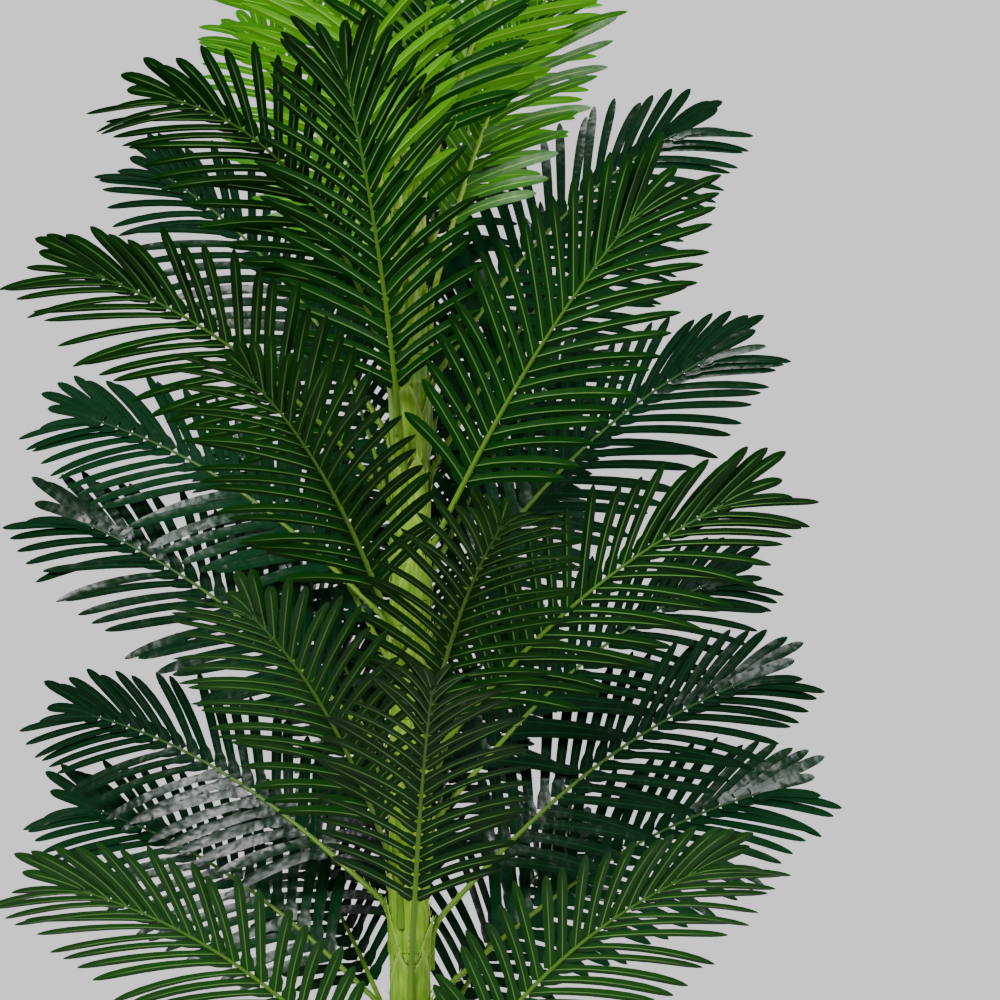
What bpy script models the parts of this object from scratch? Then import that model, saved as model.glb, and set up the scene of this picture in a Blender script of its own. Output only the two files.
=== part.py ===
# Potted artificial areca palm: a lime stem of clasping sheaths, feather fronds all round it, a plain pot.
# Metres, +Z up. The origin is the centre of the pot's flat underside.
# Headings are degrees round the stem: 0 is +X, 90 is +Y, and the fronds that face the viewer head to -Y.

import math

import bmesh
import bpy
from mathutils import Vector
from mathutils.bvhtree import BVHTree

# Pot and its filling
POT_HEIGHT = 0.200
POT_BASE_RADIUS = 0.090
POT_RIM_RADIUS = 0.115
POT_RIM_DEPTH = 0.022
POT_RIM_LIP = 0.005
POT_WALL = 0.004
POT_FLOOR = 0.006
FILL_BELOW_RIM = 0.018
FILL_CROWN = 0.004
POT_SIDES = 32

# Stem, from a flat cut on the filling to its tip in the crown
STEM_RADIUS = 0.027
STEM_TIP_RADIUS = 0.010
STEM_TAPER_START = 1.300
STEM_TOP = 1.620
STEM_TAPER_RINGS = 4
STEM_SIDES = 24

# A frond: a clasping foot, a petiole that leans away from the stem, then the blade
CLASP_LENGTH = 0.050
PETIOLE_LENGTH = 0.120
BLADE_LENGTH = 0.460
TERMINAL_LENGTH = 0.080
CLASP_ELEVATION = 88.0
BEND_LENGTH = 0.070
ARCH = 25.0
ARCH_POWER = 1.2
WALK_STEP = 0.005
# Fronds are twisted at the petiole, so that those at the sides show their face to the front or the back,
# and those at the rear show it partly to the sides
FACE_TURN = 58.0
FRONT_TURN_POWER = 1.0
REAR_TURN_POWER = 0.3

# Half widths of the rib strip, and its thickness: flat above, keeled below
CLASP_HALF_WIDTH = 0.0085
CLASP_END_HALF_WIDTH = 0.0068
PETIOLE_HALF_WIDTH = 0.0055
WEB_HALF_WIDTH = 0.0110
TIP_HALF_WIDTH = 0.0050
RIB_HALF_THICKNESS = 0.0014
KEEL_DEPTH = 0.0050
WEB_SWELLS_BY = 0.15
WEB_THINS_FROM = 0.50
CORNERS = 5

# Leaflets, in pairs along the blade; the first pair grows at the third station, after foot and petiole
LEAFLET_PAIRS = 11
FIRST_PAIR = 3
LEAFLET_LENGTH = 0.176
LEAFLET_SHORTEST = 0.56
LONGEST_SPREAD = 0.80
LEAFLET_THICKNESS = 0.0026
LEAFLET_LIFT = 0.0008
LEAFLET_WIDTH_SHARE = 0.82
SHORT_LEAFLET_WIDTH = 0.55
LEAFLET_BEND_AT = 0.45
ANGLE_AT_FOOT = 57.0
ANGLE_AT_TIP = 30.0
ANGLE_POWER = 1.2
DROOP_TO_BEND = 3.0
DROOP_TO_TIP = 15.0
DROOP_OF_TERMINAL = 5.0

# A leaflet that would touch another frond, the stem or the pot droops, lifts or stays short, or is left out
CLEARANCE = 0.0008
GAP = 0.0003
TRIAL_LENGTHS = (1.00, 0.85, 0.70, 0.55, 0.40, 0.28)
TRIAL_DROOPS = (0.0, 16.0, -16.0)

# Each frond: height where it leaves the stem, heading, lift of its blade, and arch where it isn't ARCH
OLD_FRONDS = (
    (0.280, -148, 46), (0.265, -33, 51), (0.310, 62, 38), (0.350, 118, 38), (0.420, 16, 38),
    (0.400, 154, 36), (0.440, 100, 40), (0.480, -84, 56), (0.525, 14, 45), (0.530, 80, 40),
    (0.550, 154, 35), (0.590, -114, 53), (0.600, 108, 42), (0.660, 72, 40), (0.690, 115, 42),
    (0.665, 27, 45), (0.730, -74, 49), (0.765, 164, 42, 20), (0.760, -28, 47, 22), (0.770, 96, 42),
    (0.830, 66, 44), (0.870, 125, 44), (0.915, -112, 48), (0.925, 92, 46), (0.935, 15, 53),
    (0.950, 157, 40), (0.990, 58, 48), (1.045, -38, 57, 14), (1.050, 112, 50), (1.100, 78, 50),
    (1.120, -136, 39), (1.170, -102, 66, 20), (1.150, 45, 52), (1.205, 149, 54), (1.225, 105, 54),
    (1.285, 29, 52), (1.275, -129, 62, 60), (1.310, 82, 58), (1.395, 98, 62, 20), (1.500, -80, 62, 18),
)
YOUNG_FRONDS = (
    (1.370, 135, 62, 18), (1.400, 5, 74, 18), (1.415, -115, 68, 16), (1.440, 50, 66, 18),
    (1.530, 165, 70, 20), (1.550, -25, 70, 22), (1.570, 95, 72, 20), (1.590, -150, 76, 18),
)
YOUNG_SCALE = 0.94

LEAF_GREEN = (0.016, 0.070, 0.014)
LIME_LEAF = (0.140, 0.360, 0.020)
LIME_STEM = (0.330, 0.480, 0.060)
POT_BLACK = (0.022, 0.022, 0.023)
CEMENT_GREY = (0.180, 0.165, 0.145)
LEAF_ROUGHNESS = 0.40
STEM_ROUGHNESS = 0.50
POT_ROUGHNESS = 0.45
CEMENT_ROUGHNESS = 0.90
SHARP_ANGLE = math.radians(35)


def clear_scene():
    for item in list(bpy.data.objects):
        bpy.data.objects.remove(item, do_unlink=True)


def make_material(name, colour, roughness):
    material = bpy.data.materials.new(name)
    material.use_nodes = True
    shader = material.node_tree.nodes["Principled BSDF"]
    shader.inputs["Base Color"].default_value = (*colour, 1.0)
    shader.inputs["Roughness"].default_value = roughness
    shader.inputs["Metallic"].default_value = 0.0
    return material


def add_object(name, points, faces, colour, roughness, smooth=False):
    """One closed body as an object of its own."""
    mesh = bpy.data.meshes.new(name)
    mesh.from_pydata([tuple(point) for point in points], [], faces)
    shape = bmesh.new()
    shape.from_mesh(mesh)
    bmesh.ops.recalc_face_normals(shape, faces=shape.faces)
    bmesh.ops.triangulate(shape, faces=shape.faces)
    shape.to_mesh(mesh)
    shape.free()
    mesh.materials.append(make_material(name, colour, roughness))
    if smooth:
        mesh.shade_smooth()
        mesh.set_sharp_from_angle(angle=SHARP_ANGLE)
    item = bpy.data.objects.new(name, mesh)
    bpy.context.scene.collection.objects.link(item)


def turned(profile, sides):
    """Points and faces of a profile of (radius, height) turned round Z; a zero radius is one pole point."""
    points = []
    rings = []
    for radius, height in profile:
        if radius == 0.0:
            rings.append([len(points)] * sides)
            points.append(Vector((0.0, 0.0, height)))
            continue
        rings.append(list(range(len(points), len(points) + sides)))
        for side in range(sides):
            angle = 2 * math.pi * side / sides
            points.append(Vector((radius * math.cos(angle), radius * math.sin(angle), height)))
    faces = []
    for lower, upper in zip(rings, rings[1:]):
        for side in range(sides):
            after = (side + 1) % sides
            corners = [lower[side], lower[after], upper[after], upper[side]]
            faces.append(list(dict.fromkeys(corners)))
    return points, faces


def pot_radius(height):
    return POT_BASE_RADIUS + (POT_RIM_RADIUS - POT_BASE_RADIUS) * height / POT_HEIGHT


def make_pot():
    rim_foot = POT_HEIGHT - POT_RIM_DEPTH
    profile = [
        (0.0, 0.0),
        (POT_BASE_RADIUS, 0.0),
        (pot_radius(rim_foot), rim_foot),
        (pot_radius(rim_foot) + POT_RIM_LIP, rim_foot + POT_RIM_LIP),
        (POT_RIM_RADIUS + POT_RIM_LIP, POT_HEIGHT),
        (POT_RIM_RADIUS - POT_WALL, POT_HEIGHT),
        (pot_radius(POT_FLOOR) - POT_WALL, POT_FLOOR),
        (0.0, POT_FLOOR),
    ]
    points, faces = turned(profile, POT_SIDES)
    add_object("pot", points, faces, POT_BLACK, POT_ROUGHNESS, smooth=True)


def fill_top():
    return POT_HEIGHT - FILL_BELOW_RIM


def make_pot_fill():
    low = POT_FLOOR + GAP
    high = fill_top() - FILL_CROWN
    profile = [
        (0.0, low),
        (pot_radius(low) - POT_WALL - GAP, low),
        (pot_radius(high) - POT_WALL - GAP, high),
        (2 * STEM_RADIUS, fill_top()),
        (0.0, fill_top()),
    ]
    points, faces = turned(profile, POT_SIDES)
    add_object("pot_fill", points, faces, CEMENT_GREY, CEMENT_ROUGHNESS, smooth=True)


def stem_radius(height):
    share = max(0.0, (height - STEM_TAPER_START) / (STEM_TOP - STEM_TAPER_START))
    return STEM_RADIUS + (STEM_TIP_RADIUS - STEM_RADIUS) * share


def stem_geometry():
    foot = fill_top() + GAP
    taper = STEM_TOP - STEM_TAPER_START
    profile = [(0.0, foot), (STEM_RADIUS, foot)]
    for ring in range(STEM_TAPER_RINGS + 1):
        height = STEM_TAPER_START + taper * ring / STEM_TAPER_RINGS
        profile.append((stem_radius(height), height))
    profile.append((0.0, STEM_TOP))
    return turned(profile, STEM_SIDES)


def make_stem():
    points, faces = stem_geometry()
    add_object("stem", points, faces, LIME_STEM, STEM_ROUGHNESS, smooth=True)


def smooth_step(share):
    share = min(1.0, max(0.0, share))
    return share * share * (3 - 2 * share)


def frond_plan():
    """Name, height, heading, lift, arch, scale and colour of every frond, from the lowest up."""
    plan = []
    for kind, rows, scale, colour in (
        ("frond", OLD_FRONDS, 1.0, LEAF_GREEN),
        ("young_frond", YOUNG_FRONDS, YOUNG_SCALE, LIME_LEAF),
    ):
        for number, row in enumerate(rows, start=1):
            arch = row[3] if len(row) > 3 else ARCH
            plan.append({
                "name": "%s_%02d" % (kind, number), "height": row[0], "heading": math.radians(row[1]),
                "lift": row[2], "arch": arch, "scale": scale, "colour": colour,
            })
    return plan


def elevation(frond, distance):
    """Slope of the midline, degrees above level: up the stem, away from it, then along the blade's arch."""
    bend = smooth_step((distance - CLASP_LENGTH / 2) / BEND_LENGTH)
    share = (distance - CLASP_LENGTH - PETIOLE_LENGTH) / (BLADE_LENGTH * frond["scale"])
    arch = frond["arch"] * min(1.0, max(0.0, share)) ** ARCH_POWER
    return frond["lift"] - arch + (CLASP_ELEVATION - frond["lift"]) * (1 - bend)


def face_turn(frond, distance):
    """Twist about the midline, grown along the petiole."""
    across = math.cos(frond["heading"])
    rear = math.sin(frond["heading"]) >= 0
    power = REAR_TURN_POWER if rear else FRONT_TURN_POWER
    turn = math.copysign(abs(across) ** power, across if rear else -across)
    return math.radians(FACE_TURN) * turn * smooth_step((distance - CLASP_LENGTH) / PETIOLE_LENGTH)


def walk(frond, distances):
    """Stations at the given distances along the midline: place, tangent, side and upper normal."""
    outward = Vector((math.cos(frond["heading"]), math.sin(frond["heading"]), 0.0))
    side = Vector((-outward.y, outward.x, 0.0))
    foot = frond["height"] - CLASP_LENGTH
    place = outward * (stem_radius(foot) + GAP + RIB_HALF_THICKNESS)
    place.z = foot
    travelled = 0.0
    stations = []
    for distance in distances:
        while travelled < distance - 1e-9:
            step = min(WALK_STEP, distance - travelled)
            slope = math.radians(elevation(frond, travelled + step / 2))
            place = place + (outward * math.cos(slope) + Vector((0, 0, math.sin(slope)))) * step
            travelled += step
        slope = math.radians(elevation(frond, distance))
        turn = face_turn(frond, distance)
        tangent = outward * math.cos(slope) + Vector((0, 0, math.sin(slope)))
        level_upper = tangent.cross(side)
        turned_side = side * math.cos(turn) + level_upper * math.sin(turn)
        stations.append((place.copy(), tangent, turned_side, tangent.cross(turned_side)))
    return stations


def web_half_width(share):
    """Half width of the strip between the two rows of leaflets, along the blade."""
    swell = smooth_step(share / WEB_SWELLS_BY)
    thin = smooth_step((share - WEB_THINS_FROM) / (1 - WEB_THINS_FROM))
    full = PETIOLE_HALF_WIDTH + (WEB_HALF_WIDTH - PETIOLE_HALF_WIDTH) * swell
    return full + (TIP_HALF_WIDTH - full) * thin


def rib_stations(frond):
    """Stations from the foot to the tip, each with the half width of the strip there."""
    distances = [0.0, CLASP_LENGTH, CLASP_LENGTH + PETIOLE_LENGTH / 2]
    widths = [CLASP_HALF_WIDTH, CLASP_END_HALF_WIDTH, PETIOLE_HALF_WIDTH]
    for pair in range(LEAFLET_PAIRS + 1):
        share = pair / LEAFLET_PAIRS
        distances.append(CLASP_LENGTH + PETIOLE_LENGTH + BLADE_LENGTH * frond["scale"] * share)
        widths.append(web_half_width(share))
    return walk(frond, distances), widths


def rib_corners(stations, widths):
    """Five corners at each station: left and right above, right below, keel, left below."""
    points = []
    for (place, tangent, side, upper), width in zip(stations, widths):
        thick = upper * RIB_HALF_THICKNESS
        points.append(place - side * width + thick)
        points.append(place + side * width + thick)
        points.append(place + side * width - thick)
        points.append(place - upper * KEEL_DEPTH)
        points.append(place - side * width - thick)
    return points


def leaflet_length(share):
    """Longest at the middle of the blade, shorter at both ends."""
    swell = math.sin(math.pi * (0.5 + LONGEST_SPREAD * (share - 0.5)))
    return LEAFLET_LENGTH * (LEAFLET_SHORTEST + (1 - LEAFLET_SHORTEST) * swell)


def leaflet_angle(share):
    return math.radians(ANGLE_AT_FOOT + (ANGLE_AT_TIP - ANGLE_AT_FOOT) * share ** ANGLE_POWER)


def drooped(direction, degrees):
    """The direction pulled down by about so many degrees."""
    return (direction - Vector((0.0, 0.0, math.tan(math.radians(degrees))))).normalized()


def leaflet_axis(stations, pair, hand, scale, length_share=1.0, extra_droop=0.0):
    """Root, bend and tip of a leaflet, with the blade's upper normal there."""
    place, tangent, side, upper = stations[pair]
    ahead = stations[pair + 1]
    share = (pair + 0.5 - FIRST_PAIR) / LEAFLET_PAIRS
    root = (place + ahead[0]) / 2 + side * hand * web_half_width(share)
    angle = leaflet_angle(share)
    along = (tangent + ahead[1]).normalized()
    direction = along * math.cos(angle) + side * hand * math.sin(angle)
    length = leaflet_length(share) * scale * length_share
    bend = root + drooped(direction, DROOP_TO_BEND + extra_droop) * length * LEAFLET_BEND_AT
    tip = bend + drooped(direction, DROOP_TO_TIP + extra_droop) * length * (1 - LEAFLET_BEND_AT)
    return root, bend, tip, upper


def leaflet_half_width(stations, pair, hand, scale):
    """Half the room to the next leaflet at the bend, so that neighbours stay apart."""
    other = pair + 1 if pair + 2 < len(stations) else pair - 1
    root, bend = leaflet_axis(stations, pair, hand, scale)[:2]
    next_root, next_bend = leaflet_axis(stations, other, hand, scale)[:2]
    axis = (bend - root).normalized()
    between = (next_root + next_bend) / 2 - (root + bend) / 2
    room = (between - axis * between.dot(axis)).length
    return room * LEAFLET_WIDTH_SHARE / 2


def leaflet_points(stations, pair, hand, scale, length_share, extra_droop, swell=0.0):
    """Aft edge, fore edge and underside at the bend, then the tip; swell thickens it for the test."""
    root, bend, tip, upper = leaflet_axis(stations, pair, hand, scale, length_share, extra_droop)
    narrowed = SHORT_LEAFLET_WIDTH + (1 - SHORT_LEAFLET_WIDTH) * length_share
    half = leaflet_half_width(stations, pair, hand, scale) * narrowed + swell
    axis = (tip - root).normalized()
    across = axis.cross(upper).normalized()
    if across.dot(stations[pair][1]) < 0:
        across = -across
    above = (upper - axis * upper.dot(axis)).normalized()
    lift = above * (LEAFLET_LIFT + swell)
    keel = bend - above * (LEAFLET_THICKNESS - LEAFLET_LIFT + swell)
    return [bend - across * half + lift, bend + across * half + lift, keel, tip + axis * swell * 2]


def leaflet_faces(roots, start):
    """Faces from the root's corners (aft above, below, fore above, below) to the four points at start."""
    aft_up, aft_low, fore_up, fore_low = roots
    bend_aft, bend_fore, keel, tip = range(start, start + 4)
    return [
        [aft_up, fore_up, bend_fore],
        [aft_up, bend_fore, bend_aft],
        [fore_low, aft_low, keel],
        [aft_low, aft_up, bend_aft],
        [aft_low, bend_aft, keel],
        [fore_up, fore_low, keel],
        [fore_up, keel, bend_fore],
        [bend_aft, bend_fore, tip],
        [bend_fore, keel, tip],
        [keel, bend_aft, tip],
    ]


def root_indices(pair, hand):
    """Corner indices of a leaflet's root on the strip: aft above and below, then fore above and below."""
    above, below = (1, 2) if hand > 0 else (0, 4)
    aft = pair * CORNERS
    fore = aft + CORNERS
    return aft + above, aft + below, fore + above, fore + below


def rib_faces(stations, leaflets):
    """Faces of the strip, left open at the roots of its leaflets and at its tip."""
    faces = [list(range(CORNERS))]
    for interval in range(len(stations) - 1):
        low = interval * CORNERS
        high = low + CORNERS
        for corner in range(CORNERS):
            hand = {1: 1, 4: -1}.get(corner)
            if (interval, hand) in leaflets:
                continue
            after = (corner + 1) % CORNERS
            faces.append([low + corner, low + after, high + after])
            faces.append([low + corner, high + after, high + corner])
    return faces


def add_terminal(points, faces, station, scale):
    """The leaflet at the blade's end, which closes the strip in one point."""
    place, tangent = station[:2]
    last = len(points) - CORNERS
    tip = len(points)
    points.append(place + drooped(tangent, DROOP_OF_TERMINAL) * TERMINAL_LENGTH * scale)
    for corner in range(CORNERS):
        faces.append([last + corner, last + (corner + 1) % CORNERS, tip])


def strip_geometry(rib, leaflets):
    """The strip and its terminal leaflet, open where the given leaflets grow."""
    points = list(rib["corners"])
    faces = rib_faces(rib["stations"], leaflets)
    add_terminal(points, faces, rib["stations"][-1], rib["scale"])
    return points, faces


def obstacle(points, faces):
    """Box and search tree of a shape, for the clearance test."""
    low = [min(point[axis] for point in points) for axis in range(3)]
    high = [max(point[axis] for point in points) for axis in range(3)]
    return low, high, BVHTree.FromPolygons([tuple(point) for point in points], faces)


def touches(first, second):
    low, high, tree = first
    other_low, other_high, other_tree = second
    if any(low[axis] > other_high[axis] or other_low[axis] > high[axis] for axis in range(3)):
        return False
    return bool(tree.overlap(other_tree))


def fit_leaflet(rib, pair, hand, others):
    """Points of the first trial that stays clear of all the others, or None."""
    roots = [rib["corners"][index] for index in root_indices(pair, hand)]
    faces = leaflet_faces(range(4), 4)
    for length_share in TRIAL_LENGTHS:
        for extra_droop in TRIAL_DROOPS:
            trial = (rib["stations"], pair, hand, rib["scale"], length_share, extra_droop)
            swollen = obstacle(roots + leaflet_points(*trial, swell=CLEARANCE), faces)
            if not any(touches(swollen, other) for other in others):
                return leaflet_points(*trial)
    return None


def grow_leaflets(rib, others):
    """Points of every leaflet of a frond that has room, by (pair, hand)."""
    leaflets = {}
    for pair in range(FIRST_PAIR, FIRST_PAIR + LEAFLET_PAIRS):
        for hand in (1, -1):
            shape = fit_leaflet(rib, pair, hand, others)
            if shape:
                leaflets[(pair, hand)] = shape
    return leaflets


def frond_geometry(rib, leaflets):
    """One closed body: the strip with its leaflets grown out of it."""
    points, faces = strip_geometry(rib, leaflets)
    for (pair, hand), shape in leaflets.items():
        faces.extend(leaflet_faces(root_indices(pair, hand), len(points)))
        points.extend(shape)
    return points, faces


def make_fronds():
    """From the lowest up: each keeps clear of the stem, of every strip and of the leaflets before it."""
    plan = frond_plan()
    ribs = []
    for frond in plan:
        stations, widths = rib_stations(frond)
        corners = rib_corners(stations, widths)
        ribs.append({"stations": stations, "corners": corners, "scale": frond["scale"]})
    strips = [obstacle(*strip_geometry(rib, {})) for rib in ribs]
    grown = [obstacle(*stem_geometry())]
    for index, (frond, rib) in enumerate(zip(plan, ribs)):
        leaflets = grow_leaflets(rib, grown + strips[:index] + strips[index + 1:])
        points, faces = frond_geometry(rib, leaflets)
        grown.append(obstacle(points, faces))
        add_object(frond["name"], points, faces, frond["colour"], LEAF_ROUGHNESS)


def main():
    clear_scene()
    make_pot()
    make_pot_fill()
    make_stem()
    make_fronds()


main()
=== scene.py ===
import math
import random

import bmesh
import bpy
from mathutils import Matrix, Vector
from mathutils.bvhtree import BVHTree


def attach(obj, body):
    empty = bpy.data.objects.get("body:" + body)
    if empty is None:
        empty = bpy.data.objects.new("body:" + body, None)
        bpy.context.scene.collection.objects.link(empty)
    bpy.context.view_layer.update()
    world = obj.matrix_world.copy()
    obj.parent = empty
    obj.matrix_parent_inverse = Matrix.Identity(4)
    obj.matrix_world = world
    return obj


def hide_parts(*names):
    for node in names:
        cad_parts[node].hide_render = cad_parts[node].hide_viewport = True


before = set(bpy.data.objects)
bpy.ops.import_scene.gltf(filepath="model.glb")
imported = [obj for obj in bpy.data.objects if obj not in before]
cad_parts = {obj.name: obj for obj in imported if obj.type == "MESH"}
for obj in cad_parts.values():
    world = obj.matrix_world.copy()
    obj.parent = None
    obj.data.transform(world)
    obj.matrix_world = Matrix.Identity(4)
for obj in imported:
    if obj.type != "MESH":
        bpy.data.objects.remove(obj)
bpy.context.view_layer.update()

up = Vector((0.0, 0.0, 1.0))
tiny = 1e-9


def placeObject(name, data):
    thing = bpy.data.objects.new(name, data)
    bpy.context.scene.collection.objects.link(thing)
    return thing


def plainMaterial(name, colour, roughness):
    material = bpy.data.materials.new(name)
    material.use_nodes = True
    shader = material.node_tree.nodes["Principled BSDF"]
    shader.inputs["Base Color"].default_value = (*colour, 1.0)
    shader.inputs["Roughness"].default_value = roughness
    return material, material.node_tree, shader


view = {
    "place": (0.126, -3.2, 1.134),  # level with the middle of the crown
    "turn": (90.0, 0.0, 0.0),  # looks along +Y
    "lens": 82.3,
    "sensor": 36.0,
}


def makeCamera():
    data = bpy.data.cameras.new("shotCamera")
    data.lens = view["lens"]
    data.sensor_width = view["sensor"]
    camera = placeObject("shotCamera", data)
    camera.location = view["place"]
    camera.rotation_euler = [math.radians(angle) for angle in view["turn"]]
    bpy.context.scene.camera = camera


studio = {
    "backdrop": (1.02, 1.01, 1.03),  # seen by the camera alone
    "fillColour": (0.20, 0.205, 0.21),  # lights the plant from all round
    "fillStrength": 1.0,
    "floorRadius": 1.7,
    "floorSides": 96,
    "floorColour": (0.62, 0.62, 0.61),
    "floorRoughness": 0.7,
    # name, place, aim, size, watts
    "lights": (
        ("keySoftbox", (-1.9, -2.6, 2.9), (0.0, 0.0, 1.2), 1.0, 135.0),
        ("fillSoftbox", (2.6, -2.4, 2.2), (0.0, 0.0, 1.1), 1.1, 80.0),
        ("topSoftbox", (0.3, 0.6, 3.6), (0.0, 0.0, 1.4), 0.9, 34.0),
        ("rearLeftStrip", (-2.2, 1.9, 1.9), (0.0, 0.0, 1.1), 0.8, 14.0),
        ("rearRightStrip", (2.3, 1.7, 1.7), (0.0, 0.0, 1.1), 0.8, 14.0),
    ),
}


def makeAir():
    world = bpy.data.worlds.new("studioAir")
    bpy.context.scene.world = world
    world.use_nodes = True
    tree = world.node_tree
    tree.nodes.clear()
    output = tree.nodes.new("ShaderNodeOutputWorld")
    seen = tree.nodes.new("ShaderNodeBackground")
    fill = tree.nodes.new("ShaderNodeBackground")
    mix = tree.nodes.new("ShaderNodeMixShader")
    path = tree.nodes.new("ShaderNodeLightPath")
    seen.inputs["Color"].default_value = (*studio["backdrop"], 1.0)
    fill.inputs["Color"].default_value = (*studio["fillColour"], 1.0)
    fill.inputs["Strength"].default_value = studio["fillStrength"]
    tree.links.new(path.outputs["Is Camera Ray"], mix.inputs[0])
    tree.links.new(fill.outputs[0], mix.inputs[1])
    tree.links.new(seen.outputs[0], mix.inputs[2])
    tree.links.new(mix.outputs[0], output.inputs["Surface"])


def makeStudio():
    makeAir()
    for name, place, aim, size, watts in studio["lights"]:
        data = bpy.data.lights.new(name, "AREA")
        data.shape = "SQUARE"
        data.size = size
        data.energy = watts
        light = placeObject(name, data)
        light.location = place
        light.rotation_euler = (Vector(aim) - Vector(place)).to_track_quat("-Z", "Y").to_euler()
    shape = bmesh.new()
    bmesh.ops.create_circle(shape, cap_ends=True, segments=studio["floorSides"],
                            radius=studio["floorRadius"])
    mesh = bpy.data.meshes.new("studioFloor")
    shape.to_mesh(mesh)
    shape.free()
    floor = placeObject("studioFloor", mesh)
    mesh.materials.append(
        plainMaterial("floorPaint", studio["floorColour"], studio["floorRoughness"])[0])


def markPoints(mesh, marks):
    # numbers or directions on the points, for a tree or a material
    for key, values in marks.items():
        if isinstance(values[0], Vector):
            layer = mesh.attributes.new(key, "FLOAT_VECTOR", "POINT")
            layer.data.foreach_set("vector", [part for value in values for part in value])
        else:
            layer = mesh.attributes.new(key, "FLOAT", "POINT")
            layer.data.foreach_set("value", values)


def addPiece(name, points, faces, material, smoothAngle, marks=None):
    mesh = bpy.data.meshes.new(name)
    mesh.from_pydata([tuple(point) for point in points], [], faces)
    markPoints(mesh, marks or {})
    mesh.materials.append(material)
    shape = bmesh.new()
    shape.from_mesh(mesh)
    bmesh.ops.recalc_face_normals(shape, faces=shape.faces)
    shape.to_mesh(mesh)
    shape.free()
    mesh.shade_smooth()
    mesh.set_sharp_from_angle(angle=math.radians(smoothAngle))
    return placeObject(name, mesh)


def skinRings(count, rings, base=0):
    # quads between rings of points that follow each other
    faces = []
    for step in range(rings - 1):
        low = base + step * count
        for corner in range(count):
            after = (corner + 1) % count
            faces.append([low + corner, low + after, low + count + after, low + count + corner])
    return faces


def around(radius, angle, height):
    return Vector((radius * math.cos(angle), radius * math.sin(angle), height))


def turnRings(profile, sides):
    points = []
    for radius, height in profile:
        for side in range(sides):
            points.append(around(radius, math.tau * side / sides, height))
    return points, skinRings(sides, len(profile))


def turnSolid(profile, sides):
    points, faces = turnRings(profile, sides)
    for first in (0, len(points) - sides):
        faces.append(list(range(first, first + sides)))
    return points, faces


def noiseNode(tree, scale, detail, stretch=(1.0, 1.0, 1.0)):
    place = tree.nodes.new("ShaderNodeTexCoord")
    mapping = tree.nodes.new("ShaderNodeMapping")
    noise = tree.nodes.new("ShaderNodeTexNoise")
    mapping.inputs["Scale"].default_value = stretch
    noise.inputs["Scale"].default_value = scale
    noise.inputs["Detail"].default_value = detail
    tree.links.new(place.outputs["Object"], mapping.inputs["Vector"])
    tree.links.new(mapping.outputs["Vector"], noise.inputs["Vector"])
    return noise.outputs["Fac"]


def colourMix(tree, factor, first, second):
    mix = tree.nodes.new("ShaderNodeMix")
    mix.data_type = "RGBA"
    tree.links.new(factor, mix.inputs[0])
    for socket, value in ((mix.inputs[6], first), (mix.inputs[7], second)):
        if isinstance(value, tuple):
            socket.default_value = (*value, 1.0)
        else:
            tree.links.new(value, socket)
    return mix.outputs[2]


def rangeNode(tree, value, low, high, toLow=0.0, toHigh=1.0):
    node = tree.nodes.new("ShaderNodeMapRange")
    tree.links.new(value, node.inputs["Value"])
    node.inputs["From Min"].default_value = low
    node.inputs["From Max"].default_value = high
    node.inputs["To Min"].default_value = toLow
    node.inputs["To Max"].default_value = toHigh
    return node.outputs["Result"]


def addBump(tree, shader, height, strength, distance):
    bump = tree.nodes.new("ShaderNodeBump")
    bump.inputs["Strength"].default_value = strength
    bump.inputs["Distance"].default_value = distance
    tree.links.new(height, bump.inputs["Height"])
    tree.links.new(bump.outputs["Normal"], shader.inputs["Normal"])


def attributeNode(tree, name):
    node = tree.nodes.new("ShaderNodeAttribute")
    node.attribute_name = name
    return node.outputs["Fac"]


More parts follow.
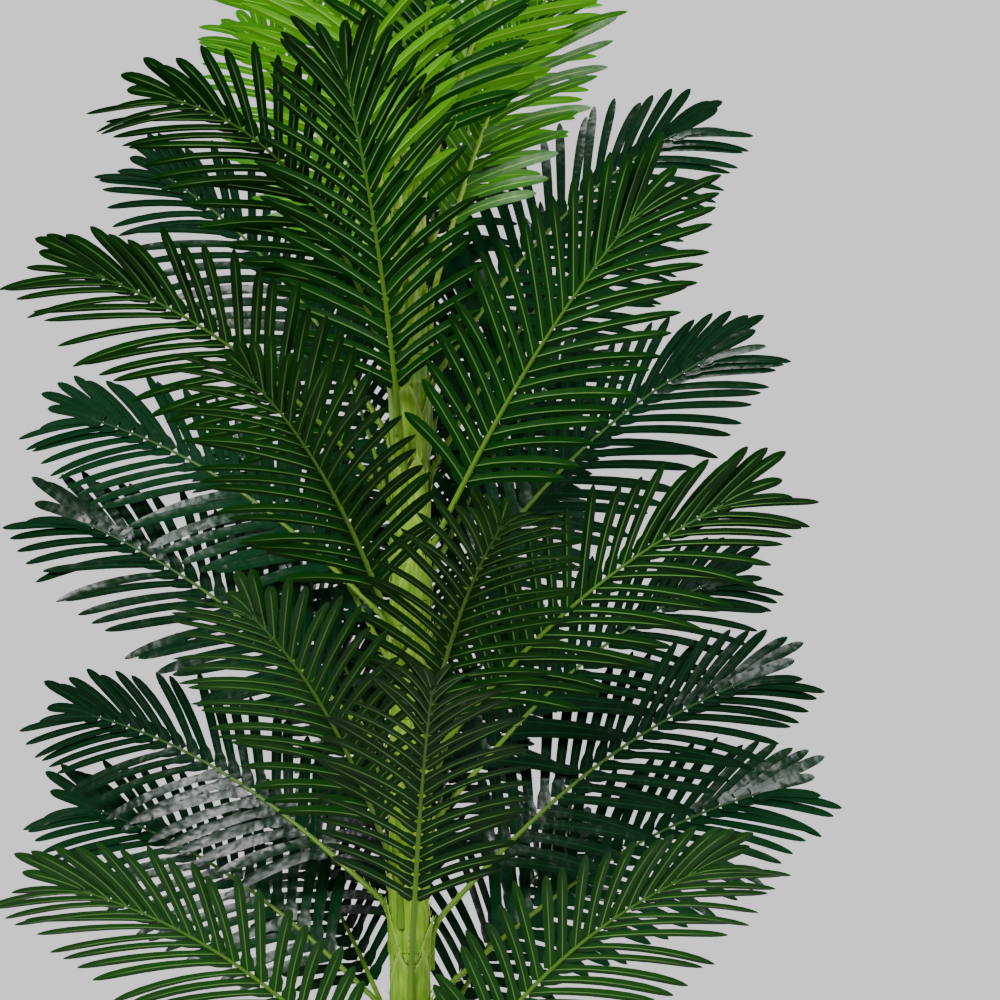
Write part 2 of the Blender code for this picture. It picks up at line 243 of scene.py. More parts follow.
class NodeDesk:
    # short calls for the nodes of one Geometry Nodes tree

    def __init__(self, name, inputs):
        self.tree = bpy.data.node_groups.new(name, "GeometryNodeTree")
        sockets = self.tree.interface
        sockets.new_socket("Geometry", in_out="INPUT", socket_type="NodeSocketGeometry")
        for label, kind in inputs:
            sockets.new_socket(label, in_out="INPUT", socket_type=kind)
        sockets.new_socket("Geometry", in_out="OUTPUT", socket_type="NodeSocketGeometry")
        self.source = self.tree.nodes.new("NodeGroupInput").outputs
        self.result = self.tree.nodes.new("NodeGroupOutput").inputs

    def put(self, socket, value):
        if isinstance(value, bpy.types.NodeSocket):
            self.tree.links.new(value, socket)
        elif value is not None:
            socket.default_value = value

    def add(self, kind, inputs, **settings):
        node = self.tree.nodes.new(kind)
        for key, value in settings.items():
            setattr(node, key, value)
        for key, value in inputs.items():
            self.put(node.inputs[key], value)
        return node.outputs

    def vector(self, operation, first, second=None, scale=None):
        return self.add("ShaderNodeVectorMath", {0: first, 1: second, 3: scale},
                        operation=operation)[0]

    def number(self, operation, first, second=None):
        return self.add("ShaderNodeMath", {0: first, 1: second}, operation=operation)[0]

    def named(self, name, kind="FLOAT"):
        return self.add("GeometryNodeInputNamedAttribute", {"Name": name},
                        data_type=kind)["Attribute"]

    def direction(self, name):
        return self.named(name, "FLOAT_VECTOR")

    def random(self, low, high, seed):
        return self.add("FunctionNodeRandomValue", {"Min": low, "Max": high, "Seed": seed},
                        data_type="FLOAT_VECTOR")["Value"]

    def keep(self, geometry, name, value, kind="FLOAT"):
        return self.add("GeometryNodeStoreNamedAttribute",
                        {"Geometry": geometry, "Name": name, "Value": value},
                        data_type=kind)["Geometry"]

    def spread(self, instance, rotation=None, scale=None):
        # the instance on each point, made real
        spread = self.add("GeometryNodeInstanceOnPoints", {
            "Points": self.source["Geometry"], "Instance": instance,
            "Rotation": rotation, "Scale": scale})
        return self.add("GeometryNodeRealizeInstances", {0: spread[0]})[0]

    def setMaterial(self, geometry, material, selection=None):
        return self.add("GeometryNodeSetMaterial", {
            "Geometry": geometry, "Material": material, "Selection": selection})["Geometry"]

    def end(self, geometry):
        self.put(self.result[0], geometry)
        return self.tree


def applyTree(name, points, marks, tree, inputs):
    # bare points go through the tree and come back as a plain mesh
    mesh = bpy.data.meshes.new(name + "Points")
    mesh.from_pydata([tuple(point) for point in points], [], [])
    markPoints(mesh, marks)
    seed = placeObject(name + "Points", mesh)
    modifier = seed.modifiers.new("grow", "NODES")
    modifier.node_group = tree
    sockets = {item.name: item.identifier for item in tree.interface.items_tree
               if item.in_out == "INPUT"}
    for label, value in inputs.items():
        modifier[sockets[label]] = value
    bpy.context.view_layer.update()
    grown = seed.evaluated_get(bpy.context.evaluated_depsgraph_get())
    result = bpy.data.meshes.new_from_object(grown)
    result.name = name
    bpy.data.objects.remove(seed, do_unlink=True)
    return placeObject(name, result)


pot = {
    "sides": 96,
    "height": 0.200,
    "baseRadius": 0.090,
    "baseEdge": 0.002,
    # height that sets the radius, height, how far in
    "groove": ((0.012, 0.012, 0.0), (0.015, 0.014, 0.0012), (0.019, 0.018, 0.0012),
               (0.021, 0.020, 0.0)),
    "rimRadius": 0.115,
    "rimDepth": 0.022,
    "lip": 0.005,
    # steps out and up from the rim's four corners, for rounded edges
    "underRim": ((-0.001, -0.001),),
    "overRim": ((-0.001, 0.003), (0.0, 0.005)),
    "outerLip": ((-0.0006, -0.003), (-0.002, 0.0)),
    "innerLip": ((0.001, 0.0), (0.0, -0.002)),
    "wall": 0.004,
    "floor": 0.006,
    "insideRing": 0.08,
    "poleRadius": 0.004,  # small ring that closes the shape at its axis
    "smoothAngle": 32.0,
    "black": (0.02, 0.02, 0.021),
    "roughness": 0.42,
    "grain": (900.0, 2.0),  # noise scale and detail
    "grainStrength": 0.2,
    "grainDepth": 0.0004,
    "scuff": (24.0, 5.0),
    "scuffRange": (0.35, 0.7, 0.36, 0.56),  # from the noise to the roughness
}


def potRadius(height):
    return pot["baseRadius"] + (pot["rimRadius"] - pot["baseRadius"]) * height / pot["height"]


def makePot():
    top, wall = pot["height"], pot["wall"]
    rimFoot = top - pot["rimDepth"]
    underRim = potRadius(rimFoot)
    overRim = underRim + pot["lip"]
    rim = pot["rimRadius"] + pot["lip"]
    inside = pot["rimRadius"] - wall
    # radius and height: foot, groove, side, rim, then down the inside to the floor
    profile = [(pot["poleRadius"], 0.0), (pot["baseRadius"] - pot["baseEdge"], 0.0),
               (pot["baseRadius"], pot["baseEdge"])]
    for sameRadius, height, depth in pot["groove"]:
        profile.append((potRadius(sameRadius) - depth, height))
    corners = ((underRim, rimFoot, pot["underRim"]), (overRim, rimFoot, pot["overRim"]),
               (rim, top, pot["outerLip"]), (inside, top, pot["innerLip"]))
    for radius, height, steps in corners:
        profile.extend((radius + out, height + rise) for out, rise in steps)
    for height in (pot["insideRing"], pot["floor"]):
        profile.append((potRadius(height) - wall, height))
    profile.append((pot["poleRadius"], pot["floor"]))
    points, faces = turnSolid(profile, pot["sides"])
    material, tree, shader = plainMaterial("potPlastic", pot["black"], pot["roughness"])
    grain = noiseNode(tree, *pot["grain"])
    scuff = noiseNode(tree, *pot["scuff"])
    tree.links.new(rangeNode(tree, scuff, *pot["scuffRange"]), shader.inputs["Roughness"])
    addBump(tree, shader, grain, pot["grainStrength"], pot["grainDepth"])
    piece = addPiece("plainPot", points, faces, material, pot["smoothAngle"])
    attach(piece, "root")
    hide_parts("pot")


filling = {
    "sides": 64,
    "gap": 0.0003,
    "wallGap": 0.0005,
    "rings": 15,
    "edgeHeight": 0.1775,
    "topHeight": 0.1780,
    "crown": 0.0035,
    "stemHole": 0.028,
    "poleHeight": 0.1816,
    "roughFrom": 0.1778,  # points above this are moved a little
    "roughness": (-0.0007, 0.0004),
    "smoothAngle": 60.0,
    "light": (0.2, 0.185, 0.165),
    "dark": (0.09, 0.082, 0.072),
    "matt": 0.9,
    "grit": (260.0, 6.0),
    "gritRange": (0.35, 0.66),
    "gritStrength": 0.8,
    "gritDepth": 0.002,
    "patches": (22.0, 4.0),
    "patchRange": (0.45, 0.75, 0.0, 0.5),
}


def cementMaterial():
    light, dark = filling["light"], filling["dark"]
    material, tree, shader = plainMaterial("cementFill", light, filling["matt"])
    grit = noiseNode(tree, *filling["grit"])
    patches = noiseNode(tree, *filling["patches"])
    body = colourMix(tree, rangeNode(tree, grit, *filling["gritRange"]), dark, light)
    colour = colourMix(tree, rangeNode(tree, patches, *filling["patchRange"]), body, dark)
    tree.links.new(colour, shader.inputs["Base Color"])
    addBump(tree, shader, grit, filling["gritStrength"], filling["gritDepth"])
    return material


def makeFill():
    low = pot["floor"] + filling["gap"]
    inner = potRadius(filling["topHeight"]) - pot["wall"] - filling["wallGap"]
    profile = [(pot["poleRadius"], low),
               (potRadius(low) - pot["wall"] - filling["wallGap"], low),
               (inner, filling["edgeHeight"])]
    for step in range(1, filling["rings"]):
        share = 1 - step / filling["rings"]
        radius = inner * share + filling["stemHole"] * (1 - share)
        height = filling["topHeight"] + filling["crown"] * smoothStep(1 - share)
        profile.append((radius, height))
    profile.append((pot["poleRadius"], filling["poleHeight"]))
    points, faces = turnSolid(profile, filling["sides"])
    for point in points:
        if point.z > filling["roughFrom"]:
            point.z += random.uniform(*filling["roughness"])
    cement = cementMaterial()
    piece = addPiece("cementInPot", points, faces, cement, filling["smoothAngle"])
    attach(piece, "root")
    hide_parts("pot_fill")
    return cement


pebble = {
    "count": 420,
    "size": 0.0042,
    "ring": (0.034, 0.103),  # nearest and furthest from the middle of the pot
    "height": 0.1795,
    "crown": 0.002,
    "turn": (0.5, 0.5, 6.2),  # the most that one is tipped or turned
    "turnSeed": 4,
    "least": (0.35, 0.35, 0.25),  # shares of the size
    "most": (1.0, 0.9, 0.55),
    "shareSeed": 9,
}


def pebbleTree():
    desk = NodeDesk("pebbleSpread", (
        ("Size", "NodeSocketFloat"), ("Finish", "NodeSocketMaterial")))
    stone = desk.add("GeometryNodeMeshIcoSphere",
                     {"Subdivisions": 1, "Radius": desk.source["Size"]})["Mesh"]
    turn = desk.random(None, pebble["turn"], pebble["turnSeed"])
    size = desk.random(pebble["least"], pebble["most"], pebble["shareSeed"])
    stones = desk.spread(stone, turn, size)
    return desk.end(desk.setMaterial(stones, desk.source["Finish"]))


def makePebbles(cement):
    inner, outer = pebble["ring"]
    spots = []
    for _ in range(pebble["count"]):
        radius = math.sqrt(random.uniform(inner ** 2, outer ** 2))
        angle = random.uniform(0.0, math.tau)
        height = pebble["height"] + pebble["crown"] * (1 - radius / outer)
        spots.append(around(radius, angle, height))
    piece = applyTree("pebblesInCement", spots, {}, pebbleTree(), {
        "Size": pebble["size"], "Finish": cement})
    piece.data.shade_smooth()
    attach(piece, "root")


palm = {
    "fillTop": 0.182,
    "stemRadius": 0.027,
    "stemTipRadius": 0.010,
    "taperStart": 1.300,
    "stemTop": 1.620,
    "ribSeat": 0.0017,  # gap to the stem and half the rib's thickness
    "clasp": 0.050,
    "petiole": 0.120,
    "blade": 0.460,
    "claspElevation": 88.0,
    "bend": 0.070,
    "arch": 25.0,
    "archPower": 1.2,
    "faceTurn": 58.0,
    "rearTurnPower": 0.3,
    "youngScale": 0.94,
    "walkStep": 0.005,
}
# height on the stem, heading, lift of the blade, and arch where it isn't the usual
oldFronds = (
    (0.280, -148, 46), (0.265, -33, 51), (0.310, 62, 38), (0.350, 118, 38), (0.420, 16, 38),
    (0.400, 154, 36), (0.440, 100, 40), (0.480, -84, 56), (0.525, 14, 45), (0.530, 80, 40),
    (0.550, 154, 35), (0.590, -114, 53), (0.600, 108, 42), (0.660, 72, 40), (0.690, 115, 42),
    (0.665, 27, 45), (0.730, -74, 49), (0.765, 164, 42, 20), (0.760, -28, 47, 22),
    (0.770, 96, 42), (0.830, 66, 44), (0.870, 125, 44), (0.915, -112, 48), (0.925, 92, 46),
    (0.935, 15, 53), (0.950, 157, 40), (0.990, 58, 48), (1.045, -38, 57, 14), (1.050, 112, 50),
    (1.100, 78, 50), (1.120, -136, 39), (1.170, -102, 66, 20), (1.150, 45, 52),
    (1.205, 149, 54), (1.225, 105, 54), (1.285, 29, 52), (1.275, -129, 62, 60),
    (1.310, 82, 58), (1.395, 98, 62, 20), (1.500, -80, 62, 18),
)
youngFronds = (
    (1.370, 135, 62, 18), (1.400, 5, 74, 18), (1.415, -115, 68, 16), (1.440, 50, 66, 18),
    (1.530, 165, 70, 20), (1.550, -25, 70, 22), (1.570, 95, 72, 20), (1.590, -150, 76, 18),
)


def clamp(share):
    return min(1.0, max(0.0, share))


def smoothStep(share):
    share = clamp(share)
    return share * share * (3 - 2 * share)


def stemRadius(height):
    share = max(0.0, (height - palm["taperStart"]) / (palm["stemTop"] - palm["taperStart"]))
    return palm["stemRadius"] + (palm["stemTipRadius"] - palm["stemRadius"]) * share


def listFronds():
    kinds = (("frond", oldFronds, 1.0), ("young_frond", youngFronds, palm["youngScale"]))
    fronds = []
    for kind, rows, scale in kinds:
        for number, (height, heading, lift, *arch) in enumerate(rows, start=1):
            fronds.append({
                "node": "%s_%02d" % (kind, number), "young": rows is youngFronds,
                "height": height, "heading": math.radians(heading), "lift": lift,
                "scale": scale, "arch": arch[0] if arch else palm["arch"],
            })
    return fronds


def elevation(frond, distance):
    bend = smoothStep((distance - palm["clasp"] / 2) / palm["bend"])
    share = (distance - palm["clasp"] - palm["petiole"]) / (palm["blade"] * frond["scale"])
    arch = frond["arch"] * clamp(share) ** palm["archPower"]
    return frond["lift"] - arch + (palm["claspElevation"] - frond["lift"]) * (1 - bend)


def faceTurn(frond, distance):
    # fronds at the sides turn their face to the front or the back
    across = math.cos(frond["heading"])
    rear = math.sin(frond["heading"]) >= 0
    power = palm["rearTurnPower"] if rear else 1.0
    turn = math.copysign(abs(across) ** power, across if rear else -across)
    begun = smoothStep((distance - palm["clasp"]) / palm["petiole"])
    return math.radians(palm["faceTurn"]) * turn * begun


def walkFrond(frond, distances):
    # place, direction, side and upper side at each distance along the rib
    outward = Vector((math.cos(frond["heading"]), math.sin(frond["heading"]), 0.0))
    side = Vector((-outward.y, outward.x, 0.0))

    def aim(distance):
        slope = math.radians(elevation(frond, distance))
        return outward * math.cos(slope) + up * math.sin(slope)

    foot = frond["height"] - palm["clasp"]
    place = outward * (stemRadius(foot) + palm["ribSeat"])
    place.z = foot
    travelled = 0.0
    stations = []
    for distance in distances:
        while travelled < distance - tiny:
            step = min(palm["walkStep"], distance - travelled)
            place = place + aim(travelled + step / 2) * step
            travelled += step
        turn = faceTurn(frond, distance)
        tangent = aim(distance)
        turned = side * math.cos(turn) + tangent.cross(side) * math.sin(turn)
        stations.append((place.copy(), tangent, turned, tangent.cross(turned)))
    return stations


def bladeStart():
    return palm["clasp"] + palm["petiole"]


rib = {
    "half": 0.0042,
    "halfLoss": 0.0024,
    "footWider": 0.5,
    "footShare": 9,  # the wider foot is one part in this many
    "steps": 60,
    # across and height in shares of the half width: flat above, keel below
    "section": ((-1.0, 0.15), (-0.55, 0.78), (0.55, 0.78), (1.0, 0.15),
                (0.72, -0.70), (0.0, -1.10), (-0.72, -0.70)),
    "guard": ((-1.0, 0.35), (1.0, 0.35), (0.0, -1.0)),  # what leaflets keep clear of
    "limeFade": (0.18, 0.80),  # shares of the frond: where the lime fades, over how much
    "upperFade": (0.16, 0.14),
    "smoothAngle": 55.0,
    "roughness": 0.4,
    "specular": 0.25,
    "grain": (320.0, 2.0),
    "grainStrength": 0.15,
    "grainDepth": 0.0006,
    "dark": {"lime": (0.15, 0.31, 0.022), "leaf": (0.05, 0.165, 0.014),
             "upper": (0.012, 0.06, 0.018)},
    "young": {"lime": (0.36, 0.56, 0.06), "leaf": (0.3, 0.52, 0.05),
              "upper": (0.22, 0.46, 0.03)},
}


def ribRadius(share):
    # half width of the rib, from the frond's foot to its tip
    return rib["half"] - rib["halfLoss"] * smoothStep(share)


def ribTube(stations):
    points = []
    last = len(stations) - 1
    for index, (place, tangent, side, upper) in enumerate(stations):
        radius = ribRadius(index / last)
        for across, height in rib["guard"]:
            points.append(place + side * across * radius + upper * height * radius)
    return points, skinRings(len(rib["guard"]), len(stations))


def ribMaterial(name, look):
    material, tree, shader = plainMaterial(name, look["lime"], rib["roughness"])
    shader.inputs["Specular IOR Level"].default_value = rib["specular"]
    share = attributeNode(tree, "ribShare")
    under = colourMix(tree, share, look["lime"], look["leaf"])
    above = colourMix(tree, share, look["lime"], look["upper"])
    colour = colourMix(tree, attributeNode(tree, "ribUpper"), under, above)
    tree.links.new(colour, shader.inputs["Base Color"])
    grain = noiseNode(tree, *rib["grain"])
    addBump(tree, shader, grain, rib["grainStrength"], rib["grainDepth"])
    return material


def makeRibPiece(fronds, name, look):
    points, faces, shares, uppers = [], [], [], []
    count = len(rib["section"])
    limeFrom, limeOver = rib["limeFade"]
    upperFrom, upperOver = rib["upperFade"]
    for frond in fronds:
        stations = frond["stations"]
        last = len(stations) - 1
        base = len(points)
        for index, (place, tangent, side, upper) in enumerate(stations):
            share = index / last
            wider = 1.0 + rib["footWider"] * (1 - smoothStep(share * rib["footShare"]))
            half = ribRadius(share) * wider
            for across, height in rib["section"]:
                points.append(place + side * across * half + upper * height * half)
                shares.append(clamp((share - limeFrom) / limeOver))
                above = 1.0 if height > 0 else 0.0
                uppers.append(above * smoothStep((share - upperFrom) / upperOver))
        faces.extend(skinRings(count, len(stations), base))
        for first in (base, base + last * count):
            faces.append(list(range(first, first + count)))
    material = ribMaterial(name + "Finish", look)
    piece = addPiece(name, points, faces, material, rib["smoothAngle"],
                     {"ribShare": shares, "ribUpper": uppers})
    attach(piece, "root")
    print(name, len(faces), "faces")


def makeRibs(fronds):
    oldOnes = [frond for frond in fronds if not frond["young"]]
    youngOnes = [frond for frond in fronds if frond["young"]]
    makeRibPiece(oldOnes, "darkRibs", rib["dark"])
    makeRibPiece(youngOnes, "limeRibs", rib["young"])


leaflet = {
    "pairs": 18,
    "stations": 72,
    "length": 0.187,  # from the rib, at the middle of the blade
    "shortest": 0.56,
    "longestSpread": 0.80,
    "angleAtFoot": 52.0,
    "angleAtTip": 17.0,
    "anglePower": 1.5,
    "angleVaries": 2.5,
    "droopAtRoot": 0.5,
    "bend": 17.0,
    "bendVaries": 9.0,
    "leastBend": 2.0,
    "rollVaries": 9.0,
    "tipCalm": 0.7,  # how much less the roll varies near the tip
    "toneVaries": 0.18,
    "widthShare": 0.86,
    "rootOut": 0.0015,
    "rootUp": 0.0012,
    "tipWidens": (0.45, 0.5),  # shares of the blade: where leaflets widen, over how much
    "tipRoom": 0.0190,
    "tipRoll": 14.0,
    "tipSpread": 9.0,
    "tipLength": 0.100,
    "tipBack": 0.008,
    "fold": 0.13,
    "thinning": 0.8,  # how much of its thickness a leaflet loses at its tip
    "thinningPower": 3.0,
    "smoothAngle": 75.0,
    "clearance": 0.0006,
    # share of the full length, degrees of extra droop
    "trials": (
        (1.0, 0.0), (1.0, 14.0), (1.0, -14.0), (0.9, 26.0), (0.9, -26.0), (0.8, 0.0),
        (0.7, 0.0), (0.6, 16.0), (0.6, -16.0), (0.5, 0.0), (0.4, 0.0), (0.28, 0.0),
    ),
    "trialBend": 0.6,
    "trialDroop": 0.5,
    "steep": 0.05,
    # share of the length, share of the half width
    "outline": ((0.0, 1.22), (0.11, 1.24), (0.17, 0.82), (0.30, 0.90), (0.46, 0.96),
                (0.62, 1.0), (0.77, 0.97), (0.88, 0.83), (0.95, 0.56), (0.985, 0.28),
                (1.0, 0.06)),
    "testOutline": ((0.16, 0.82), (0.38, 0.94), (0.74, 1.0), (0.90, 0.85), (1.0, 0.12)),
    # share across, height: the under side with its raised vein, then the upper side
    "section": ((-1.0, 0.0), (-0.15, -0.0004), (0.0, -0.0013), (0.15, -0.0004), (1.0, 0.0),
                (0.0, 0.0005)),
    "upperSides": (4, 5),  # corners of the section where an upper face starts
}
leafletStrips = [[low, low + 1, low + 3, low + 2]
                 for low in range(0, 2 * len(leaflet["testOutline"]) - 2, 2)]


def leafletLength(share):
    swell = math.sin(math.pi * (0.5 + leaflet["longestSpread"] * (share - 0.5)))
    return leaflet["length"] * (leaflet["shortest"] + (1 - leaflet["shortest"]) * swell)


def drooped(direction, degrees):
    return (direction - up * math.tan(math.radians(degrees))).normalized()


def shapeLeaflet(root, forward, normal, length, half, bend):
    # the leaflet's outline as flat strips, for the clearance test
    down = -up - forward * (-up).dot(forward)
    down = down.normalized() if down.length > leaflet["steep"] else normal * -1
    points = []
    for share, width in leaflet["testOutline"]:
        turn = bend * share
        centre = root + forward * (length * math.sin(turn) / bend)
        centre = centre + down * (length * (1 - math.cos(turn)) / bend)
        tangent = forward * math.cos(turn) + down * math.sin(turn)
        across = normal.cross(tangent).normalized()
        points.append(centre + across * half * width)
        points.append(centre - across * half * width)
    return points, down


def boxedTree(points, faces):
    low = [min(point[axis] for point in points) for axis in range(3)]
    high = [max(point[axis] for point in points) for axis in range(3)]
    return low, high, BVHTree.FromPolygons([tuple(point) for point in points], faces)


def meets(first, second):
    for axis in range(3):
        if first[0][axis] > second[1][axis] or second[0][axis] > first[1][axis]:
            return False
    return bool(first[2].overlap(second[2]))


def leafletRoots(frond, stations):
    # place, direction, upper side, length, room and lean of every leaflet, tip leaflets last
    rows = []
    pairs = leaflet["pairs"]
    scale = frond["scale"]
    widenFrom, widenOver = leaflet["tipWidens"]
    for pair in range(pairs):
        share = (pair + 0.5) / pairs
        place, tangent, side, upper = stations[round(share * leaflet["stations"])]
        opening = leaflet["angleAtTip"] - leaflet["angleAtFoot"]
        angle = leaflet["angleAtFoot"] + opening * share ** leaflet["anglePower"]
        spacing = palm["blade"] * scale / pairs
        widened = smoothStep((share - widenFrom) / widenOver)
        room = spacing * math.sin(math.radians(angle)) * (1 - widened)
        room = room + leaflet["tipRoom"] * widened
        for hand in (1, -1):
            turn = math.radians(angle + random.uniform(-1, 1) * leaflet["angleVaries"])
            direction = tangent * math.cos(turn) + side * hand * math.sin(turn)
            rows.append((place, direction, upper, leafletLength(share) * scale, room,
                         hand * widened))
    place, tangent, side, upper = stations[-1]
    for hand in (1, -1):
        turn = math.radians(leaflet["tipSpread"]) * hand
        direction = tangent * math.cos(turn) + side * math.sin(turn)
        rows.append((place - tangent * leaflet["tipBack"], direction, upper,
                     leaflet["tipLength"] * scale, leaflet["tipRoom"], hand))
    return rows


def growFrond(frond, others):
    blade = palm["blade"] * frond["scale"]
    count = leaflet["stations"]
    stations = walkFrond(
        frond, [bladeStart() + blade * index / count for index in range(count + 1)])
    tone = random.uniform(0.0, 1.0)
    rows, ownPoints, ownFaces = [], [], []
    for place, direction, upper, length, room, lean in leafletRoots(frond, stations):
        forward = drooped(direction, leaflet["droopAtRoot"])
        varied = random.uniform(-1, 1) * leaflet["rollVaries"]
        varied = varied * (1 - leaflet["tipCalm"] * abs(lean))
        roll = math.radians(varied + leaflet["tipRoll"] * lean)
        across = forward.cross(upper).normalized()
        normal = (across.cross(forward) * math.cos(roll) + across * math.sin(roll)).normalized()
        bend = leaflet["bend"] + random.uniform(-1, 1) * leaflet["bendVaries"]
        half = room / 2 * leaflet["widthShare"]
        start = place + forward * leaflet["rootOut"] + upper * leaflet["rootUp"]
        leafTone = tone + random.uniform(-leaflet["toneVaries"], leaflet["toneVaries"])
        for share, extra in leaflet["trials"]:
            bent = max(leaflet["leastBend"], bend + extra * leaflet["trialBend"])
            turned = math.radians(bent)
            aimed = drooped(forward, extra * leaflet["trialDroop"])
            points, down = shapeLeaflet(start, aimed, normal, length * share,
                                        half + leaflet["clearance"], turned)
            tree = boxedTree(points, leafletStrips)
            if not any(meets(tree, other) for other in others):
                rows.append({
                    "leafRoot": start, "leafForward": aimed, "leafDown": down,
                    "leafNormal": normal, "leafLength": length * share, "leafHalf": half,
                    "leafBend": turned, "leafTone": leafTone,
                })
                base = len(ownPoints)
                ownPoints.extend(points)
                ownFaces.extend([[base + corner for corner in face] for face in leafletStrips])
                break
    return rows, boxedTree(ownPoints, ownFaces)


def leafTemplate():
    # one leaflet as a closed skin over unit shares, shaped by the tree below
    outline = leaflet["outline"]
    section = leaflet["section"]
    ring = len(section)
    points, widths, rises = [], [], []
    for share, width in outline:
        for across, height in section:
            points.append((share, across, 0.0))
            widths.append(width)
            rises.append(height)
    sides = [1.0 if corner in leaflet["upperSides"] else 0.0 for corner in range(ring)]
    faces = skinRings(ring, len(outline))
    last = (len(outline) - 1) * ring
    faces.append(list(range(ring))[::-1])
    faces.append(list(range(last, last + ring)))
    mesh = bpy.data.meshes.new("leafletTemplate")
    mesh.from_pydata(points, [], faces)
    markPoints(mesh, {"widthShare": widths, "rise": rises})
    layer = mesh.attributes.new("upperSkin", "FLOAT", "FACE")
    layer.data.foreach_set("value", sides * (len(outline) - 1) + [0.0, 0.0])
    return placeObject("leafletTemplate", mesh)


def leafletTree():
    desk = NodeDesk("leafletSpray", (
        ("Leaflet", "NodeSocketObject"), ("Fold", "NodeSocketFloat"),
        ("Under", "NodeSocketMaterial"), ("Upper", "NodeSocketMaterial"),
    ))
    number, vector, source = desk.number, desk.vector, desk.source
    shape = desk.add("GeometryNodeObjectInfo", {"Object": source["Leaflet"]})["Geometry"]
    place = desk.add("GeometryNodeInputPosition", {})[0]
    leaves = desk.spread(desk.keep(shape, "leafSpot", place, "FLOAT_VECTOR"))
    spot = desk.add("ShaderNodeSeparateXYZ", {0: desk.direction("leafSpot")})
    share, across = spot[0], spot[1]
    fromMiddle = number("ABSOLUTE", across)

    # the middle line bends down along an arc
    bend = desk.named("leafBend")
    length = desk.named("leafLength")
    forward = desk.direction("leafForward")
    down = desk.direction("leafDown")
    turn = number("MULTIPLY", bend, share)
    sine = number("SINE", turn)
    cosine = number("COSINE", turn)
    reach = number("DIVIDE", number("MULTIPLY", length, sine), bend)
    drop = number("MULTIPLY", length, number("SUBTRACT", 1.0, cosine))
    sink = number("DIVIDE", drop, bend)
    centre = vector("ADD", desk.direction("leafRoot"), vector("SCALE", forward, scale=reach))
    centre = vector("ADD", centre, vector("SCALE", down, scale=sink))
    tangent = vector("ADD", vector("SCALE", forward, scale=cosine),
                     vector("SCALE", down, scale=sine))
    side = vector("NORMALIZE", vector("CROSS_PRODUCT", desk.direction("leafNormal"), tangent))
    normal = vector("CROSS_PRODUCT", tangent, side)

    # across it, the width, the fold and the raised vein
    half = number("MULTIPLY", desk.named("leafHalf"), desk.named("widthShare"))
    outward = number("MULTIPLY", half, across)
    folded = number("MULTIPLY", half, number("SUBTRACT", 1.0, fromMiddle))
    folded = number("MULTIPLY", folded, source["Fold"])
    lost = number("MULTIPLY", number("POWER", share, leaflet["thinningPower"]),
                  leaflet["thinning"])
    rise = number("MULTIPLY", desk.named("rise"), number("SUBTRACT", 1.0, lost))
    height = number("SUBTRACT", rise, folded)
    point = vector("ADD", centre, vector("SCALE", side, scale=outward))
    point = vector("ADD", point, vector("SCALE", normal, scale=height))
    kept = desk.add("GeometryNodeSetPosition", {"Geometry": leaves, "Position": point})[0]

    kept = desk.keep(kept, "leafShare", share)
    kept = desk.keep(kept, "fromVein", number("MULTIPLY", half, fromMiddle))
    kept = desk.setMaterial(kept, source["Under"])
    upperSkin = number("GREATER_THAN", desk.named("upperSkin"), 0.5)
    return desk.end(desk.setMaterial(kept, source["Upper"], upperSkin))


leafFinish = {
    "darkUpper": {
        "deep": (0.0012, 0.018, 0.0055), "bright": (0.003, 0.038, 0.011),
        "vein": (0.005, 0.048, 0.013), "roughness": 0.24, "bump": 0.85, "specular": 0.17},
    "darkUnder": {
        "deep": (0.002, 0.034, 0.0014), "bright": (0.009, 0.078, 0.0045),
        "vein": (0.12, 0.29, 0.06), "roughness": 0.4, "bump": 0.25, "specular": 0.16},
    "limeUpper": {
        "deep": (0.025, 0.16, 0.001), "bright": (0.1, 0.4, 0.003),
        "vein": (0.2, 0.52, 0.025), "roughness": 0.34, "bump": 0.35, "specular": 0.24},
    "limeUnder": {
        "deep": (0.03, 0.17, 0.001), "bright": (0.11, 0.39, 0.004),
        "vein": (0.26, 0.56, 0.05), "roughness": 0.4, "bump": 0.25, "specular": 0.18},
}
leafSurface = {
    "veinHalf": 0.00052,
    "veinEdge": 1.9,  # the vein has faded out at this many times its half width
    "veinEnd": (0.72, 0.92),
    "grain": (58.0, 1.2),
    "grainDepth": 0.0018,
    "patches": (46.0, 2.0),
    "patchRange": (0.35, 0.65),
    "smoother": 0.05,
    "rougher": 0.08,
}


def leafMaterial(name):
    look = leafFinish[name]
    material, tree, shader = plainMaterial(name, look["deep"], look["roughness"])
    shader.inputs["Specular IOR Level"].default_value = look["specular"]
    body = colourMix(tree, attributeNode(tree, "leafTone"), look["deep"], look["bright"])
    half = leafSurface["veinHalf"]
    vein = rangeNode(tree, attributeNode(tree, "fromVein"), half,
                     half * leafSurface["veinEdge"], 1.0, 0.0)
    fade = rangeNode(tree, attributeNode(tree, "leafShare"), *leafSurface["veinEnd"], 1.0, 0.0)
    product = tree.nodes.new("ShaderNodeMath")
    product.operation = "MULTIPLY"
    tree.links.new(vein, product.inputs[0])
    tree.links.new(fade, product.inputs[1])
    colour = colourMix(tree, product.outputs[0], body, look["vein"])
    tree.links.new(colour, shader.inputs["Base Color"])
    grain = noiseNode(tree, *leafSurface["grain"])
    addBump(tree, shader, grain, look["bump"], leafSurface["grainDepth"])
    patches = noiseNode(tree, *leafSurface["patches"])
    spread = rangeNode(tree, patches, *leafSurface["patchRange"],
                       look["roughness"] - leafSurface["smoother"],
                       look["roughness"] + leafSurface["rougher"])
    tree.links.new(spread, shader.inputs["Roughness"])
    return material


